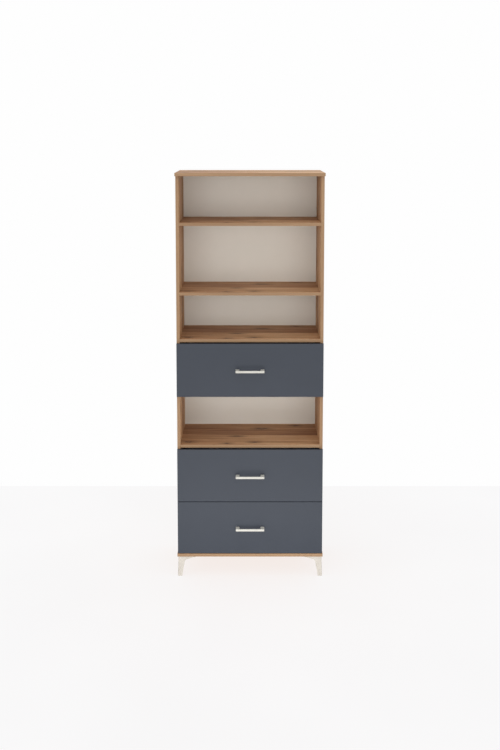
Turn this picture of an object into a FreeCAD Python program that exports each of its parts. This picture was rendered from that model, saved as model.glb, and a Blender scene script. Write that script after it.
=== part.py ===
import FreeCAD, Part
import math
import os

import Sketcher
from FreeCAD import Placement, Rotation, Vector

# Tall bookcase: four open bays, one drawer between them and two drawers at the bottom.
# Frame: +Z up, +Y to the back, origin on the floor under the middle of the whole, handles included.
# Lengths are millimetres. Places along the depth are written from the front edge of the sides, and
# bind_place moves them to the origin.

# Driving dimensions, each written once.
SIZES = {
    # carcass
    "carcass_width": 750,        # over the two sides
    "carcass_depth": 382,        # front edge to rear edge of the sides
    "board": 16,                 # every carcass board
    "panel_overhang": 3,         # top and bottom panels beyond each side
    "edge_ease": 0.8,            # rounding of the banded front edges
    "back_thickness": 3,
    "back_inset": 10,            # rear edge of the sides to the back panel
    "back_groove": 7,            # depth of the groove that holds the back panel
    "slip": 0.25,                # clearance of a sheet in its groove
    # heights
    "leg_height": 105,
    "front_height": 276,         # each of the three drawer fronts
    "reveal_bottom": 2,          # bottom panel to the lowest front
    "reveal_between": 3,         # between the two lower fronts
    "reveal_top": 5,             # front to the shelf above it
    "low_bay": 257,              # clear heights of the open bays
    "short_bay": 225,
    "tall_bay": 339,
    "upper_bay": 235,
    # drawer fronts and boxes
    "front_board": 16,
    "bumper_gap": 2,             # behind the closed fronts
    "box_board": 12,
    "box_height": 200,
    "box_length": 356,
    "box_rise": 30,              # lower edge of a front to its box
    "sheet_rise": 10,            # lower edge of a box to its bottom sheet
    "sheet_thickness": 3,
    "sheet_groove": 5,
    # telescopic runners
    "rail_length": 350,
    "rail_height": 45,
    "rail_depth": 12.7,          # gap between the carcass side and the box
    "rail_sheet": 1.2,
    "rail_gap": 0.3,             # running clearance beside the members
    "rail_ball": 2.4,            # room for the balls that run above and below the members
    "rail_lip": 9.5,             # how far the cabinet member reaches out
    "rail_setback": 2,           # front edge of the sides to the runners
    "rail_rise": 70,             # lower edge of a box to the middle of its runners
    # handles
    "handle_pitch": 128,         # between the two screws
    "handle_post": 19,
    "handle_bar": 6,             # thickness of the bar, front to back
    "handle_height": 11,
    "handle_reach": 35,          # drawer front to the front of the bar
    "handle_corner": 3,
    "handle_ease": 1,
    # corner legs
    "leg_inset": 5,              # edge of the bottom panel to the leg, at its top
    "leg_splay": 3,              # how far the foot stands further out
    "leg_arm": 90,
    "leg_wall": 4,
    "leg_foot": 22,
    "leg_neck": 33,
    "leg_neck_height": 76,
    "leg_flare": 16,             # radius between the neck and the gusset
    "leg_plate": 3,              # screw plate at the top, and the sole
    "leg_corner": 4,
    # fittings: a hole is wider or deeper than its fitting by the value named fit
    "fit": 0.2,
    "cam_disc": 15,
    "cam_depth": 13,
    "cam_reach": 24,             # end of a board to the middle of the disc
    "cam_shank": 5,
    "cam_head": 7,
    "cam_bore": 8,               # bore for the bolt in the end of a board
    "face_bore": 11.5,           # depth of the bores in the faces that boards butt against
    "dowel": 8,
    "dowel_length": 30,
    "dowel_chamfer": 1,
    "joint_setback": 50,         # front or rear edge of a shelf to the nearest fitting
    "dowel_step": 32,            # from a fitting to its dowel
    "euro_screw": 6.3,
    "euro_head": 8.6,
    "euro_length": 12,
    "rail_screw_first": 35,
    "rail_screw_step": 128,
    "wood_screw": 4,
    "screw_head": 8,
    "screw_rise": 2.4,           # height of the head
    "cross_width": 1,            # recess for the driver, in the heads and the discs
    "cross_depth": 1.2,
    "box_screw_length": 25,
    "slide_screw_length": 10,
    "leg_screw_length": 15,
    "leg_screw_edge": 16,        # from the ends of the plate
    "box_screw_edge": 35,        # from the lower edge and the top of a box
    "front_screw_inset": 70,     # from the ends of the inner front
    "machine_screw": 4,
    "post_bore": 9,              # depth of the thread in a handle's post
}
RAIL_SCREWS = 3
DRAWERS = ("1", "2", "3")        # from the top down

# Sizes and places that follow from the driving dimensions.
DERIVED = {
    "inner_width": "{carcass_width} - 2 * {board}",
    "panel_width": "{carcass_width} + 2 * {panel_overhang}",
    "front_stack": "{front_board} + {bumper_gap}",
    "panel_depth": "{carcass_depth} + {front_stack}",
    "middle_y": "({carcass_depth} - {front_stack} - {handle_reach}) / 2",
    "back_y": "{carcass_depth} - {back_inset} - {back_thickness}",
    "shelf_depth": "{back_y} - {slip}",
    "side_z": "{leg_height} + {board}",
    "front_3_z": "{side_z} + {reveal_bottom}",
    "front_2_z": "{front_3_z} + {front_height} + {reveal_between}",
    "bay_shelf_z": "{front_2_z} + {front_height} + {reveal_top}",
    "front_1_z": "{bay_shelf_z} + {board} + {low_bay}",
    "lower_shelf_z": "{front_1_z} + {front_height} + {reveal_top}",
    "middle_shelf_z": "{lower_shelf_z} + {board} + {short_bay}",
    "upper_shelf_z": "{middle_shelf_z} + {board} + {tall_bay}",
    "top_z": "{upper_shelf_z} + {board} + {upper_bay}",
    "side_height": "{top_z} - {side_z}",
    "box_width": "{inner_width} - 2 * {rail_depth}",
    "box_inner": "{box_width} - 2 * {box_board}",
    "sheet_top": "{sheet_rise} + {sheet_thickness}",
    "handle_length": "{handle_pitch} + {handle_post}",
    "last_fitting": "{shelf_depth} - {joint_setback}",
    "leg_reach": "{leg_splay} + {leg_arm}",
    "leg_edge": "{leg_inset} - {leg_splay}",
    "disc_bore": "{cam_disc} + {fit}",
    "screw_hole": "{wood_screw} + {fit}",
    "machine_hole": "{machine_screw} + {fit}",
    "pilot_depth": "{box_screw_length} - {box_board} + {fit}",
}
# Height of each board between the sides. The deck is flush with the upper front's lower edge.
SHELVES = {
    "shelf_upper": "{upper_shelf_z}",
    "shelf_middle": "{middle_shelf_z}",
    "shelf_lower": "{lower_shelf_z}",
    "drawer_deck": "{front_1_z}",
    "shelf_bay": "{bay_shelf_z}",
}
# Where the cam fittings and the dowels sit along the depth.
FITTINGS = ("{joint_setback}", "{last_fitting}")
DOWELS = ("{joint_setback} + {dowel_step}", "{last_fitting} - {dowel_step}")

document = FreeCAD.newDocument("bookcase")
sheet = document.addObject("Spreadsheet::Sheet", "Sizes")
for row, (alias, size) in enumerate(SIZES.items(), start=1):
    sheet.set(f"A{row}", alias)
    sheet.set(f"B{row}", str(size))
    sheet.setAlias(f"B{row}", alias)
document.recompute()


def formula(text):
    """The text with each {name} written as a cell of the sheet, or as the formula it stands for."""
    while "{" in text:
        start = text.index("{")
        end = text.index("}")
        name = text[start + 1:end]
        term = f"Sizes.{name}" if name in SIZES else f"({DERIVED[name]})"
        text = text[:start] + term + text[end + 1:]
    return text


def value(text):
    """What a formula comes to."""
    return float(sheet.evalExpression(formula(text)))


def vector(across, up):
    return Vector(value(across), value(up), 0)


def same(one, other):
    return abs(one - other) < 1e-6


# Bodies, sketches and features

parts = []


def bind_place(item, place, rotation):
    """Puts an item at three formulas, the second counted from the front edge of the sides."""
    item.Placement = Placement(Vector(), rotation)
    across, along, up = place
    for axis, text in (("x", across), ("y", f"{along} - ({{middle_y}})"), ("z", up)):
        item.setExpression(f"Placement.Base.{axis}", formula(text))


def new_body(label, place, turn=0):
    """A body, turned about Z by so many degrees."""
    body = document.addObject("PartDesign::Body", label)
    body.Label = label
    bind_place(body, place, Rotation(Vector(0, 0, 1), turn))
    return body


def new_part(label, place, turn=0):
    """A body that is a part of its own."""
    body = new_body(label, place, turn)
    parts.append(body)
    return body


def join_bodies(label, bodies):
    """One part of several separate solids."""
    group = document.addObject("Part::Compound", label)
    group.Label = label
    group.Links = bodies
    parts.append(group)


def new_sketch(body, plane, offset="0"):
    sketch = body.newObject("Sketcher::SketchObject", f"{body.Name}_sketch")
    origin_plane = next(item for item in body.Origin.OriginFeatures if item.Role == plane)
    sketch.AttachmentSupport = (origin_plane, [""])
    sketch.MapMode = "FlatFace"
    sketch.setExpression("AttachmentOffset.Base.z", formula(offset))
    return sketch


def pin_point(sketch, geometry, point, across, up):
    """Holds a point of a sketch at two formulas, or on an axis where one is 0."""
    for kind, text, axis in (("DistanceX", across, -2), ("DistanceY", up, -1)):
        if text == "0":
            sketch.addConstraint(Sketcher.Constraint("PointOnObject", geometry, point, axis))
            continue
        constraint = Sketcher.Constraint(kind, -1, 1, geometry, point, value(text))
        index = sketch.addConstraint(constraint)
        sketch.setExpression(f"Constraints[{index}]", formula(text))


def size_round(sketch, kind, geometry, text):
    """Binds the radius or the diameter of a circle or an arc."""
    index = sketch.addConstraint(Sketcher.Constraint(kind, geometry, value(text)))
    sketch.setExpression(f"Constraints[{index}]", formula(text))


def draw_outline(sketch, corners):
    """A closed outline of straight lines through corners, each a pair of formulas."""
    points = [vector(across, up) for across, up in corners]
    lines = []
    for index, point in enumerate(points):
        following = points[(index + 1) % len(points)]
        lines.append(sketch.addGeometry(Part.LineSegment(point, following), False))
    for index, line in enumerate(lines):
        following = lines[(index + 1) % len(lines)]
        sketch.addConstraint(Sketcher.Constraint("Coincident", line, 2, following, 1))
    for line, (across, up) in zip(lines, corners):
        pin_point(sketch, line, 1, across, up)


def draw_rectangle(sketch, low, high):
    draw_outline(sketch, (low, (high[0], low[1]), high, (low[0], high[1])))


def draw_circle(sketch, across, up, diameter):
    circle = Part.Circle(vector(across, up), Vector(0, 0, 1), value(diameter) / 2)
    geometry = sketch.addGeometry(circle, False)
    pin_point(sketch, geometry, 3, across, up)
    size_round(sketch, "Diameter", geometry, diameter)


def add_pad(body, sketch, length, reverse=False):
    pad = body.newObject("PartDesign::Pad", f"{body.Name}_pad")
    pad.Profile = sketch
    pad.Reversed = reverse
    pad.setExpression("Length", formula(length))
    return pad


def add_pocket(body, sketch, depth, reverse=False):
    pocket = body.newObject("PartDesign::Pocket", f"{body.Name}_pocket")
    pocket.Profile = sketch
    pocket.Reversed = reverse
    pocket.setExpression("Length", formula(depth))
    return pocket


def edge_names(feature, wanted):
    """The edges of a feature whose end points pass the test together."""
    document.recompute()
    edges = enumerate(feature.Shape.Edges, start=1)
    return [f"Edge{index}" for index, edge in edges if wanted([item.Point for item in edge.Vertexes])]


def round_edges(body, feature, wanted, radius):
    fillet = body.newObject("PartDesign::Fillet", f"{body.Name}_fillet")
    fillet.Base = (feature, edge_names(feature, wanted))
    fillet.setExpression("Radius", formula(radius))
    return fillet


class Block:
    """A body that fills a box, with bores and grooves cut into its six sides."""

    def __init__(self, label, size, place):
        self.size = size
        self.body = new_part(label, place)
        sketch = new_sketch(self.body, "XY_Plane")
        draw_rectangle(sketch, ("0", "0"), size[:2])
        self.base = add_pad(self.body, sketch, size[2])

    def ease_front(self):
        round_edges(self.body, self.base, lambda ends: all(same(end.y, 0) for end in ends), "{edge_ease}")

    def cut(self, side, depth, circles=(), rectangles=()):
        """Cuts circles (across, up, diameter) and rectangles (low, high) into one side."""
        width, length, height = self.size
        plane, offset, reverse = {
            "left": ("YZ_Plane", "0", True),
            "right": ("YZ_Plane", width, False),
            "front": ("XZ_Plane", "0", False),
            "back": ("XZ_Plane", f"-({length})", True),
            "bottom": ("XY_Plane", "0", True),
            "top": ("XY_Plane", height, False),
        }[side]
        sketch = new_sketch(self.body, plane, offset)
        for circle in circles:
            draw_circle(sketch, *circle)
        for low, high in rectangles:
            draw_rectangle(sketch, low, high)
        add_pocket(self.body, sketch, depth, reverse)


# Carcass

GROOVE_LOW = "{back_y} - {slip}"
GROOVE_HIGH = "{back_y} + {back_thickness} + {slip}"
END_BORES = [(along, "{cam_bore}") for along in FITTINGS]
END_BORES += [(along, "{dowel} + {fit}") for along in DOWELS]
FACE_BORES = [(along, "{cam_shank} + {fit}") for along in FITTINGS]
FACE_BORES += [(along, "{dowel} + {fit}") for along in DOWELS]


def make_shelf(label, height):
    """A board between the sides, held by four cam fittings with their discs in its underside."""
    place = ("-({inner_width}) / 2", "0", height)
    shelf = Block(label, ("{inner_width}", "{shelf_depth}", "{board}"), place)
    shelf.ease_front()
    ends = [(along, "{board} / 2", bore) for along, bore in END_BORES]
    shelf.cut("left", "{cam_reach}", ends)
    shelf.cut("right", "{cam_reach}", ends)
    discs = []
    for across in ("{cam_reach}", "{inner_width} - {cam_reach}"):
        discs += [(across, along, "{disc_bore}") for along in FITTINGS]
    shelf.cut("bottom", "{cam_depth}", discs)


def rail_middle(drawer):
    """Height of the middle of a drawer's runners."""
    return f"{{front_{drawer}_z}} + {{box_rise}} + {{rail_rise}}"


def rail_screw(index):
    """Place of a screw along the runner."""
    return f"{{rail_screw_first}} + {index} * {{rail_screw_step}}"


def make_side(label, across, inner):
    """A side. Its inner face takes the shelves, the runners, the back panel and four cam discs."""
    size = ("{board}", "{carcass_depth}", "{side_height}")
    side = Block(label, size, (across, "0", "{side_z}"))
    side.ease_front()
    bores = []
    for height in SHELVES.values():
        middle = f"{height} + {{board}} / 2 - ({{side_z}})"
        bores += [(along, middle, bore) for along, bore in FACE_BORES]
    for drawer in DRAWERS:
        middle = f"{rail_middle(drawer)} - ({{side_z}})"
        for index in range(RAIL_SCREWS):
            bores.append((f"{{rail_setback}} + {rail_screw(index)}", middle, "{euro_screw} + {fit}"))
    side.cut(inner, "{face_bore}", bores)
    discs = []
    for height in ("{cam_reach}", "{side_height} - {cam_reach}"):
        discs += [(along, height, "{disc_bore}") for along in FITTINGS]
    side.cut(inner, "{cam_depth}", discs)
    ends = [("{board} / 2", along, bore) for along, bore in END_BORES]
    side.cut("bottom", "{cam_reach}", ends)
    side.cut("top", "{cam_reach}", ends)
    side.cut(inner, "{back_groove}", rectangles=[((GROOVE_LOW, "0"), (GROOVE_HIGH, "{side_height}"))])


def make_panel(label, height, inner):
    """The top or the bottom panel. The sides butt against its inner face."""
    place = ("-({panel_width}) / 2", "-({front_stack})", height)
    panel = Block(label, ("{panel_width}", "{panel_depth}", "{board}"), place)
    panel.ease_front()
    side_middle = "{panel_overhang} + {board} / 2"
    bores = []
    for across in (side_middle, f"{{panel_width}} - ({side_middle})"):
        bores += [(across, f"{along} + {{front_stack}}", bore) for along, bore in FACE_BORES]
    panel.cut(inner, "{face_bore}", bores)
    end = "({panel_overhang} + {board} - {back_groove})"
    low = (end, f"{GROOVE_LOW} + {{front_stack}}")
    high = (f"{{panel_width}} - {end}", f"{GROOVE_HIGH} + {{front_stack}}")
    panel.cut(inner, "{back_groove}", rectangles=[(low, high)])
    return panel


def make_back():
    """One sheet that stands in the grooves of the sides, the top and the bottom."""
    reach = "({back_groove} - {slip})"
    size = (f"{{inner_width}} + 2 * {reach}", "{back_thickness}", f"{{side_height}} + 2 * {reach}")
    Block("back_panel", size, (f"-({size[0]}) / 2", "{back_y}", f"{{side_z}} - {reach}"))


# Corner legs. A leg's own frame starts at the outer corner of its foot, and its arms run along +X
# and +Y. The whole leg leans in towards its top, by the splay.

LEGS = {
    "leg_front_left": (0, "{leg_edge}", "{leg_edge}"),
    "leg_front_right": (90, "{panel_width} - ({leg_edge})", "{leg_edge}"),
    "leg_rear_right": (180, "{panel_width} - ({leg_edge})", "{panel_depth} - ({leg_edge})"),
    "leg_rear_left": (270, "{leg_edge}", "{panel_depth} - ({leg_edge})"),
}
LEG_SCREW_END = "{leg_reach} - {leg_screw_edge}"
LEG_SCREW_SIDE = "{leg_splay} + {leg_wall} + {leg_screw_edge} / 2"
LEG_SCREW_MIDDLE = "{leg_splay} + {leg_arm} / 2"
LEG_SCREWS = (
    (LEG_SCREW_END, LEG_SCREW_SIDE),
    (LEG_SCREW_SIDE, LEG_SCREW_END),
    (LEG_SCREW_MIDDLE, LEG_SCREW_MIDDLE),
)


def leg_screw_places():
    """Every leg screw, from the left front corner of the bottom panel."""
    places = []
    for across, along in LEG_SCREWS:
        left = f"({{leg_edge}} + {across})"
        front = f"({{leg_edge}} + {along})"
        for x in (left, f"({{panel_width}} - {left})"):
            places += [(x, front), (x, f"({{panel_depth}} - {front})")]
    return places


def draw_arch(sketch):
    """The space beside a leg: up its taper, round the flare and along the underside of the gusset."""
    foot = ("{leg_foot}", "0")
    neck = ("{leg_splay} + {leg_neck}", "{leg_neck_height}")
    tip = ("{leg_reach}", "{leg_height} - {leg_plate}")
    past = "{leg_reach} + {leg_wall}"
    foot_point = vector(*foot)
    neck_point = vector(*neck)
    tip_point = vector(*tip)
    rise = (neck_point - foot_point).normalize()
    radius = value("{leg_flare}")
    centre = neck_point + Vector(rise.y, -rise.x, 0) * radius
    to_tip = tip_point - centre
    neck_angle = math.atan2(rise.x, -rise.y)
    touch_angle = math.atan2(to_tip.y, to_tip.x) + math.acos(radius / to_tip.Length)
    touch_point = centre + Vector(math.cos(touch_angle), math.sin(touch_angle), 0) * radius
    circle = Part.Circle(centre, Vector(0, 0, 1), radius)
    corners = (tip_point, vector(past, tip[1]), vector(past, "0"), foot_point)
    taper = sketch.addGeometry(Part.LineSegment(foot_point, neck_point), False)
    flare = sketch.addGeometry(Part.ArcOfCircle(circle, touch_angle, neck_angle), False)
    gusset = sketch.addGeometry(Part.LineSegment(touch_point, tip_point), False)
    lines = [gusset]
    for start, end in zip(corners, corners[1:]):
        lines.append(sketch.addGeometry(Part.LineSegment(start, end), False))
    lines.append(taper)
    for line, following in zip(lines, lines[1:]):
        sketch.addConstraint(Sketcher.Constraint("Coincident", line, 2, following, 1))
    sketch.addConstraint(Sketcher.Constraint("Tangent", taper, 2, flare, 2))
    sketch.addConstraint(Sketcher.Constraint("Tangent", flare, 1, gusset, 1))
    size_round(sketch, "Radius", flare, "{leg_flare}")
    pin_point(sketch, taper, 1, *foot)
    pin_point(sketch, taper, 2, *neck)
    pin_point(sketch, gusset, 2, *tip)
    pin_point(sketch, lines[1], 2, past, tip[1])
    pin_point(sketch, lines[2], 2, past, "0")


def make_leg(label):
    """An angle with two arched arms, a screw plate at its top and a sole under its foot."""
    turn, across, along = LEGS[label]
    place = (f"{across} - ({{panel_width}}) / 2", f"{along} - ({{front_stack}})", "0")
    body = new_part(label, place, turn)
    foot = new_sketch(body, "XY_Plane")
    draw_outline(foot, (
        ("0", "0"), ("{leg_arm}", "0"), ("{leg_arm}", "{leg_wall}"),
        ("{leg_wall}", "{leg_wall}"), ("{leg_wall}", "{leg_arm}"), ("0", "{leg_arm}"),
    ))
    angle = add_pad(body, foot, "{leg_height}")
    angle.UseCustomVector = True
    angle.AlongSketchNormal = True
    for axis, lean in (("x", "{leg_splay}"), ("y", "{leg_splay}"), ("z", "{leg_height}")):
        angle.setExpression(f"Direction.{axis}", formula(lean))
    limit = value("{leg_splay}") + value("{leg_wall}") / 2
    round_edges(body, angle, lambda ends: all(same(end.x, end.y) and end.x < limit for end in ends),
                "{leg_corner}")
    for plane, reverse in (("XZ_Plane", False), ("YZ_Plane", True)):
        arch = new_sketch(body, plane)
        draw_arch(arch)
        add_pocket(body, arch, "{leg_reach}", reverse)
    plate = new_sketch(body, "XY_Plane", "{leg_height} - {leg_plate}")
    near = "{leg_splay} + {leg_wall} / 2"
    far = "{leg_reach} - {leg_wall} / 2"
    wide = "{leg_splay} + {leg_wall} + {leg_screw_edge}"
    draw_outline(plate, ((near, near), (far, near), (far, wide), (wide, far), (near, far)))
    add_pad(body, plate, "{leg_plate}")
    sole = new_sketch(body, "XY_Plane")
    draw_rectangle(sole, ("{leg_wall} / 2", "{leg_wall} / 2"), ("{leg_foot}", "{leg_foot}"))
    add_pad(body, sole, "{leg_plate}")
    holes = new_sketch(body, "XY_Plane", "{leg_height}")
    for hole in LEG_SCREWS:
        draw_circle(holes, *hole, "{screw_hole}")
    add_pocket(body, holes, "{leg_plate}")


# Telescopic runners. A runner's own frame starts at the lower front corner of the cabinet member,
# on the face of the side, and +X points at the drawer. The runners on the right are turned round.

RUNNERS = {
    "left": ("-({inner_width}) / 2", "{rail_setback}"),
    "right": ("({inner_width}) / 2", "{rail_setback} + {rail_length}"),
}


def make_channel(label, drawer, side, outline):
    """A member of a runner: its section drawn out along the runner."""
    across, along = RUNNERS[side]
    turn = 180 if side == "right" else 0
    body = new_body(label, (across, along, f"{rail_middle(drawer)} - {{rail_height}} / 2"), turn)
    sketch = new_sketch(body, "XZ_Plane")
    draw_outline(sketch, outline)
    add_pad(body, sketch, "{rail_length}", True)
    return body


def from_top(text):
    return f"{{rail_height}} - ({text})"


def bore_web(body, side, face, diameter):
    """Screw holes through a member's web, from a face of it."""
    holes = new_sketch(body, "YZ_Plane", face)
    for index in range(RAIL_SCREWS):
        along = rail_screw(index)
        if side == "right":
            along = f"{{rail_length}} - ({along})"
        draw_circle(holes, along, "{rail_height} / 2", diameter)
    return add_pocket(body, holes, "{rail_sheet}")


def make_cabinet_rail(drawer, side):
    """The outer member: a channel with lips, screwed to the carcass through its web."""
    web = "{rail_sheet}"
    lip = "2 * {rail_sheet} + {rail_ball}"
    inside = "{rail_lip} - {rail_sheet}"
    body = make_channel(f"drawer_{drawer}_rail_{side}", drawer, side, (
        ("0", "0"), ("{rail_lip}", "0"), ("{rail_lip}", lip), (inside, lip), (inside, web), (web, web),
        (web, from_top(web)), (inside, from_top(web)), (inside, from_top(lip)),
        ("{rail_lip}", from_top(lip)), ("{rail_lip}", "{rail_height}"), ("0", "{rail_height}"),
    ))
    bored = bore_web(body, side, web, "{euro_screw} + {fit}")
    middle = value("{rail_height}") / 2
    bore = value("{euro_screw}")

    def mouth(ends):
        return all(same(end.x, value(web)) and abs(end.z - middle) < bore for end in ends)

    countersink = body.newObject("PartDesign::Chamfer", f"{body.Name}_countersink")
    countersink.Base = (bored, edge_names(bored, mouth))
    countersink.setExpression("Size", formula("({euro_head} - {euro_screw}) / 2"))
    return body


def make_middle_rail(drawer, side):
    """The middle member: a channel that runs inside the cabinet member's lips."""
    web = "{rail_sheet} + {rail_gap}"
    web_face = "2 * {rail_sheet} + {rail_gap}"
    out = "{rail_lip} - {rail_sheet} - {rail_gap}"
    low = "{rail_sheet} + {rail_ball}"
    inside = "2 * {rail_sheet} + {rail_ball}"
    return make_channel(f"drawer_{drawer}_mid_{side}", drawer, side, (
        (web, low), (out, low), (out, inside), (web_face, inside), (web_face, from_top(inside)),
        (out, from_top(inside)), (out, from_top(low)), (web, from_top(low)),
    ))


def make_drawer_rail(drawer, side):
    """The inner member: its web is screwed to the box and its flanges run in the middle member."""
    edge = "2 * ({rail_sheet} + {rail_gap})"
    low = "2 * ({rail_sheet} + {rail_ball})"
    inside = "3 * {rail_sheet} + 2 * {rail_ball}"
    web = "{rail_depth} - {rail_sheet}"
    body = make_channel(f"drawer_{drawer}_slide_{side}", drawer, side, (
        (edge, low), ("{rail_depth}", low), ("{rail_depth}", from_top(low)), (edge, from_top(low)),
        (edge, from_top(inside)), (web, from_top(inside)), (web, inside), (edge, inside),
    ))
    bore_web(body, side, "{rail_depth}", "{screw_hole}")
    return body


# Drawers. A box starts behind its closed overlay front.

BOX_Y = "-{bumper_gap}"
BOX_SCREWS_Z = ("{box_screw_edge}", "{box_height} - {box_screw_edge}")
BOX_SCREWS_Y = ("{box_board} / 2", "{box_length} - {box_board} / 2")
HANDLE_SCREWS_X = ("-{handle_pitch} / 2", "{handle_pitch} / 2")
HANDLE_Z = "{front_height} / 2"
FRONT_SCREWS_X = ("-(({box_inner}) / 2 - {front_screw_inset})", "({box_inner}) / 2 - {front_screw_inset}")
SHEET_GROOVE_Z = ("{sheet_rise} - {slip}", "{sheet_top} + {slip}")


def box_z(drawer):
    """Height of the lower edge of a drawer's box."""
    return f"{{front_{drawer}_z}} + {{box_rise}}"


def make_front(drawer):
    """The overlay front, with pilots for its screws and holes for the handle's."""
    size = ("{carcass_width}", "{front_board}", "{front_height}")
    place = ("-{carcass_width} / 2", "-({front_stack})", f"{{front_{drawer}_z}}")
    front = Block(f"drawer_{drawer}_front", size, place)
    front.ease_front()
    half = "{carcass_width} / 2"
    pilots = []
    for across in FRONT_SCREWS_X:
        pilots += [(f"{half} + {across}", f"{{box_rise}} + {up}", "{screw_hole}") for up in BOX_SCREWS_Z]
    front.cut("back", "{pilot_depth}", pilots)
    holes = [(f"{half} + {across}", HANDLE_Z, "{machine_hole}") for across in HANDLE_SCREWS_X]
    front.cut("back", "{front_board}", holes)


def make_inner_front(drawer):
    """The board that closes the box behind the overlay front."""
    place = ("-({box_inner}) / 2", BOX_Y, box_z(drawer))
    size = ("{box_inner}", "{box_board}", "{box_height}")
    inner = Block(f"drawer_{drawer}_inner_front", size, place)
    half = "({box_inner}) / 2"
    up = f"{HANDLE_Z} - {{box_rise}}"
    holes = [(f"{half} + {across}", up, "{machine_hole}") for across in HANDLE_SCREWS_X]
    for across in FRONT_SCREWS_X:
        holes += [(f"{half} + {across}", up, "{screw_hole}") for up in BOX_SCREWS_Z]
    inner.cut("front", "{box_board}", holes)
    ends = [("{box_board} / 2", up, "{screw_hole}") for up in BOX_SCREWS_Z]
    inner.cut("left", "{pilot_depth}", ends)
    inner.cut("right", "{pilot_depth}", ends)
    groove = (("0", SHEET_GROOVE_Z[0]), ("{box_inner}", SHEET_GROOVE_Z[1]))
    inner.cut("back", "{sheet_groove}", rectangles=[groove])


def make_box_side(drawer, side, across, inner):
    place = (across, BOX_Y, box_z(drawer))
    board = Block(f"drawer_{drawer}_side_{side}", ("{box_board}", "{box_length}", "{box_height}"), place)
    holes = []
    for along in BOX_SCREWS_Y:
        holes += [(along, up, "{screw_hole}") for up in BOX_SCREWS_Z]
    board.cut(side, "{box_board}", holes)
    pilots = []
    for index in range(RAIL_SCREWS):
        along = f"{{bumper_gap}} + {{rail_setback}} + {rail_screw(index)}"
        pilots.append((along, "{rail_rise}", "{screw_hole}"))
    board.cut(side, "{slide_screw_length} - {rail_sheet} + {fit}", pilots)
    groove = (("0", SHEET_GROOVE_Z[0]), ("{box_length}", SHEET_GROOVE_Z[1]))
    board.cut(inner, "{sheet_groove}", rectangles=[groove])


def make_box_back(drawer):
    """The back of the box, which stands on the bottom sheet."""
    size = ("{box_inner}", "{box_board}", "{box_height} - ({sheet_top})")
    place = ("-({box_inner}) / 2", f"{BOX_Y} + {{box_length}} - {{box_board}}",
             f"{box_z(drawer)} + {{sheet_top}}")
    back = Block(f"drawer_{drawer}_back", size, place)
    ends = [("{box_board} / 2", f"{up} - ({{sheet_top}})", "{screw_hole}") for up in BOX_SCREWS_Z]
    back.cut("left", "{pilot_depth}", ends)
    back.cut("right", "{pilot_depth}", ends)


def make_box_bottom(drawer):
    """The bottom sheet, in the grooves of the box's sides and inner front."""
    reach = "({sheet_groove} - {slip})"
    front_end = f"({{box_board}} - {reach})"
    size = (f"{{box_inner}} + 2 * {reach}", f"{{box_length}} - {front_end}", "{sheet_thickness}")
    place = (f"-({size[0]}) / 2", f"{BOX_Y} + {front_end}", f"{box_z(drawer)} + {{sheet_rise}}")
    Block(f"drawer_{drawer}_bottom", size, place)


def make_handle(drawer):
    """A bow handle: a bar between two posts that stand on the drawer front."""
    label = f"drawer_{drawer}_handle"
    up = f"{{front_{drawer}_z}} + {HANDLE_Z} - {{handle_height}} / 2"
    body = new_part(label, ("-({handle_length}) / 2", "-({front_stack}) - {handle_reach}", up))
    sketch = new_sketch(body, "XY_Plane")
    far_post = "{handle_length} - {handle_post}"
    draw_outline(sketch, (
        ("0", "0"), ("{handle_length}", "0"), ("{handle_length}", "{handle_reach}"),
        (far_post, "{handle_reach}"), (far_post, "{handle_bar}"), ("{handle_post}", "{handle_bar}"),
        ("{handle_post}", "{handle_reach}"), ("0", "{handle_reach}"),
    ))
    bow = add_pad(body, sketch, "{handle_height}")
    height = value("{handle_height}")
    reach = value("{handle_reach}")

    def corner(ends):
        upright = not same(ends[0].z, ends[-1].z)
        return upright and not any(same(end.y, reach) for end in ends)

    def rim(ends):
        level = any(all(same(end.z, face) for end in ends) for face in (0, height))
        return level and not all(same(end.y, reach) for end in ends)

    turned = round_edges(body, bow, corner, "{handle_corner}")
    round_edges(body, turned, rim, "{handle_ease}")
    holes = new_sketch(body, "XZ_Plane", "-{handle_reach}")
    for across in ("{handle_post} / 2", "{handle_length} - {handle_post} / 2"):
        draw_circle(holes, across, "{handle_height} / 2", "{machine_hole}")
    add_pocket(body, holes, "{post_bore}", True)


# Fasteners. Each kind is made once, on its own Z axis, and its copies are compounds of links.
# The bearing face of a head is at Z = 0 and the shank runs along +Z.

OUT = Vector(0, -1, 0)
UP = Vector(0, 0, 1)
DOWN = Vector(0, 0, -1)
LEFT = Vector(-1, 0, 0)
RIGHT = Vector(1, 0, 0)


def make_turned(label, outline):
    """A turned piece: half its section, revolved about Z."""
    body = document.addObject("PartDesign::Body", label)
    sketch = new_sketch(body, "XZ_Plane")
    draw_outline(sketch, outline)
    turned = body.newObject("PartDesign::Revolution", f"{label}_turned")
    turned.Profile = sketch
    turned.ReferenceAxis = (sketch, ["V_Axis"])
    turned.Angle = 360
    return body


def cut_cross(body, face, span):
    """A cross recess in the head, from its outer face."""
    half = "{cross_width} / 2"
    for across, along in ((span, half), (half, span)):
        sketch = new_sketch(body, "XY_Plane", face)
        draw_rectangle(sketch, (f"-({across})", f"-({along})"), (across, along))
        add_pocket(body, sketch, "{cross_depth}", True)


def make_pan_screw(label, thread, length, point):
    """A screw with a pan head. The point is how far the end tapers."""
    tip = f"({length} - {point})"
    outline = [
        ("0", "-{screw_rise}"), ("({screw_head} - {screw_rise}) / 2", "-{screw_rise}"),
        ("{screw_head} / 2", "-{screw_rise} / 2"), ("{screw_head} / 2", "0"),
        (f"{thread} / 2", "0"), (f"{thread} / 2", tip), (f"{thread} / 4", length), ("0", length),
    ]
    body = make_turned(label, outline)
    cut_cross(body, "-{screw_rise}", "{screw_head} / 4")
    return body


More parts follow.
